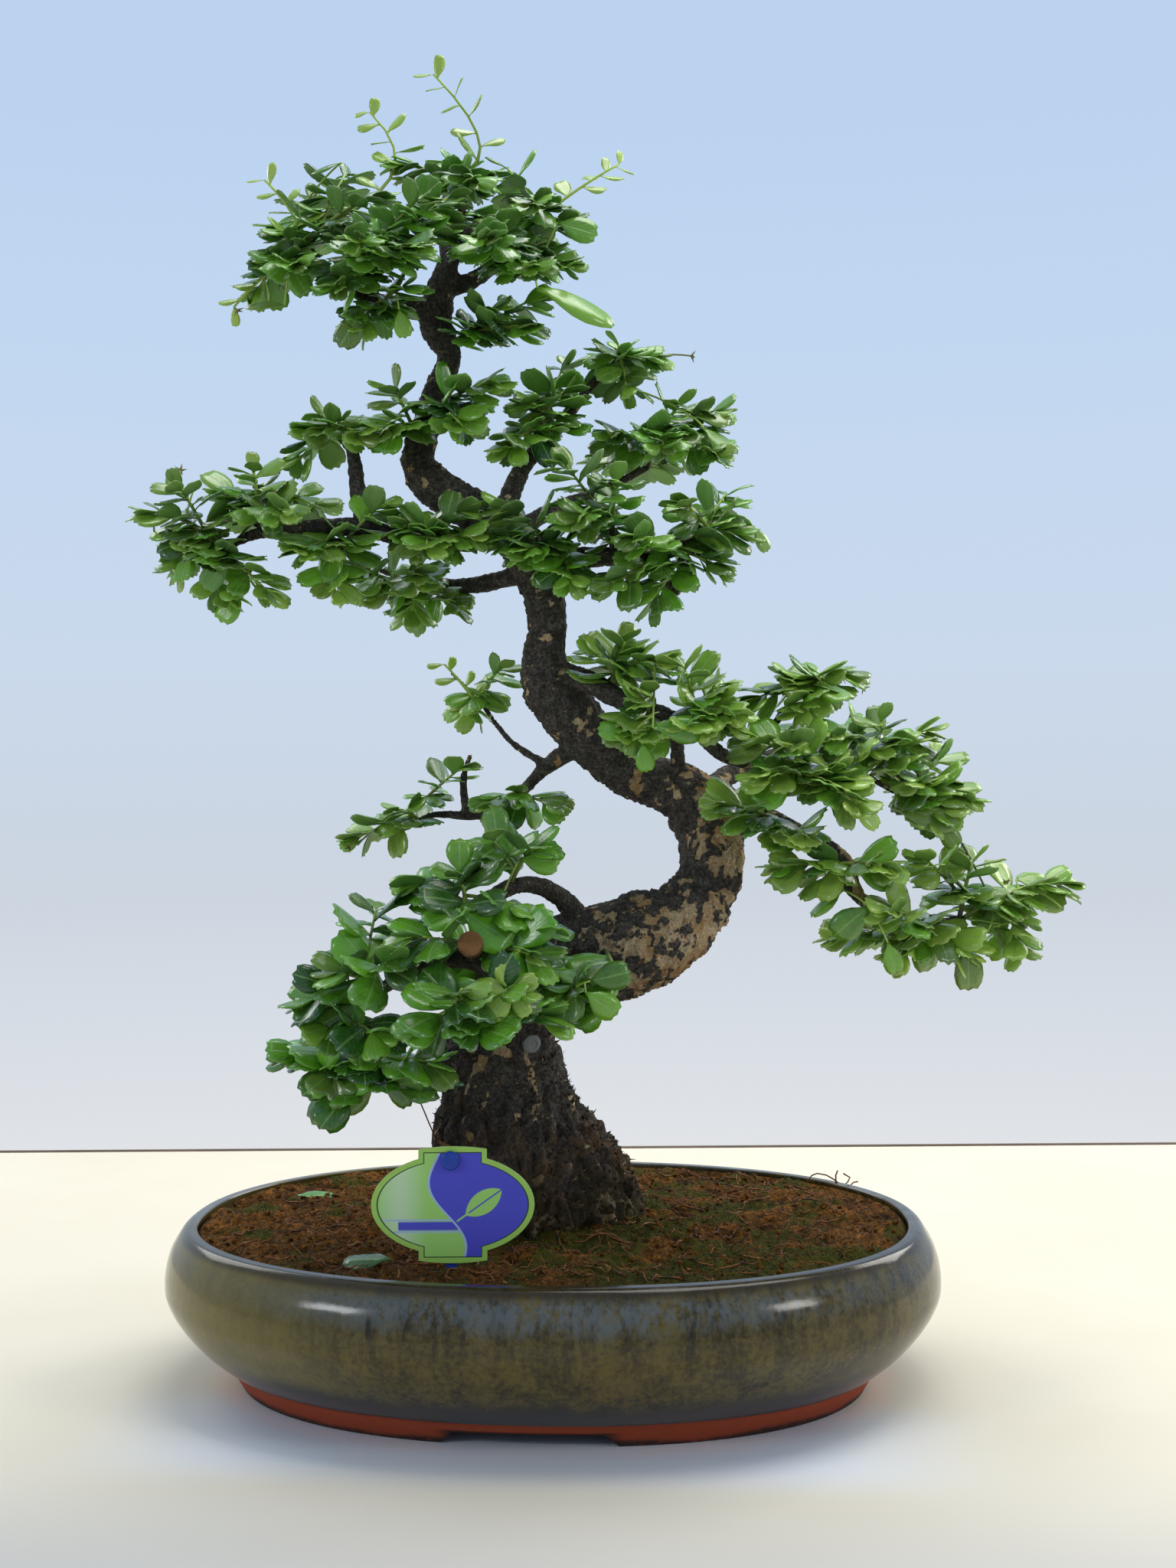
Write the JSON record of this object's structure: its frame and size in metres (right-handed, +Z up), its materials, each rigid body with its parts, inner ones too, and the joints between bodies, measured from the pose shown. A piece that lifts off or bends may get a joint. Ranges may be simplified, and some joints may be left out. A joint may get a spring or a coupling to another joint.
{
  "type": "potted fukien tea bonsai",
  "caption": "Fukien tea bonsai with a winding trunk and leafy pads, planted in a low oval glazed pot with a terracotta foot, with a plain stake label.",
  "frame": {"origin": "middle of the overall box, on the surface that the pot stands on", "axes": "+Z up, +X along the pot's long side to the right as seen from the front, front faces -Y"},
  "size_m": [0.4762, 0.289, 0.6585],
  "materials": {
    "glaze": "glossy mottled olive glaze over a terracotta foot",
    "mesh_plastic": "matt black plastic mesh",
    "soil": "fibrous brown peat with moss",
    "bark": "rough flaking bark, blackish with tan patches",
    "label_card": "satin printed plastic card",
    "stake_plastic": "blue moulded plastic",
    "leaf": "thick glossy leaf, paler beneath"
  },
  "bodies": {
    "root": {"pot": "glaze", "drain_mesh_left": "mesh_plastic", "drain_mesh_right": "mesh_plastic", "soil": "soil", "wood": "bark", "label_card": "label_card", "label_stake": "stake_plastic", "fallen_leaf_left": "leaf", "fallen_leaf_front": "leaf", "crown_west": "leaf", "crown_northwest": "leaf", "crown_brow": "leaf", "crown_north": "leaf", "crown_top": "leaf", "crown_northeast": "leaf", "crown_east": "leaf", "crown_rear": "leaf", "crown_under": "leaf", "crown_skirt": "leaf", "left_end": "leaf", "left_top": "leaf", "left_rise": "leaf", "left_belly": "leaf", "left_under": "leaf", "left_neck": "leaf", "left_inner": "leaf", "right_neck": "leaf", "right_inner": "leaf", "right_rise": "leaf", "right_top": "leaf", "right_end": "leaf", "right_front": "leaf", "right_belly": "leaf", "right_start": "leaf", "right_rear": "leaf", "low_start": "leaf", "low_second": "leaf", "low_drop": "leaf", "low_rise": "leaf", "low_middle": "leaf", "low_crest": "leaf", "low_east": "leaf", "low_elbow": "leaf", "low_spur": "leaf", "low_shelf": "leaf", "low_tip": "leaf", "low_fringe": "leaf", "low_rear": "leaf", "small_end": "leaf", "small_rise": "leaf", "small_start": "leaf", "base_arc": "leaf", "base_arc_end": "leaf", "base_west": "leaf", "base_end": "leaf", "base_front": "leaf", "base_top": "leaf", "base_collar": "leaf", "base_low": "leaf", "base_rear": "leaf"}
  },
  "joints": []
}
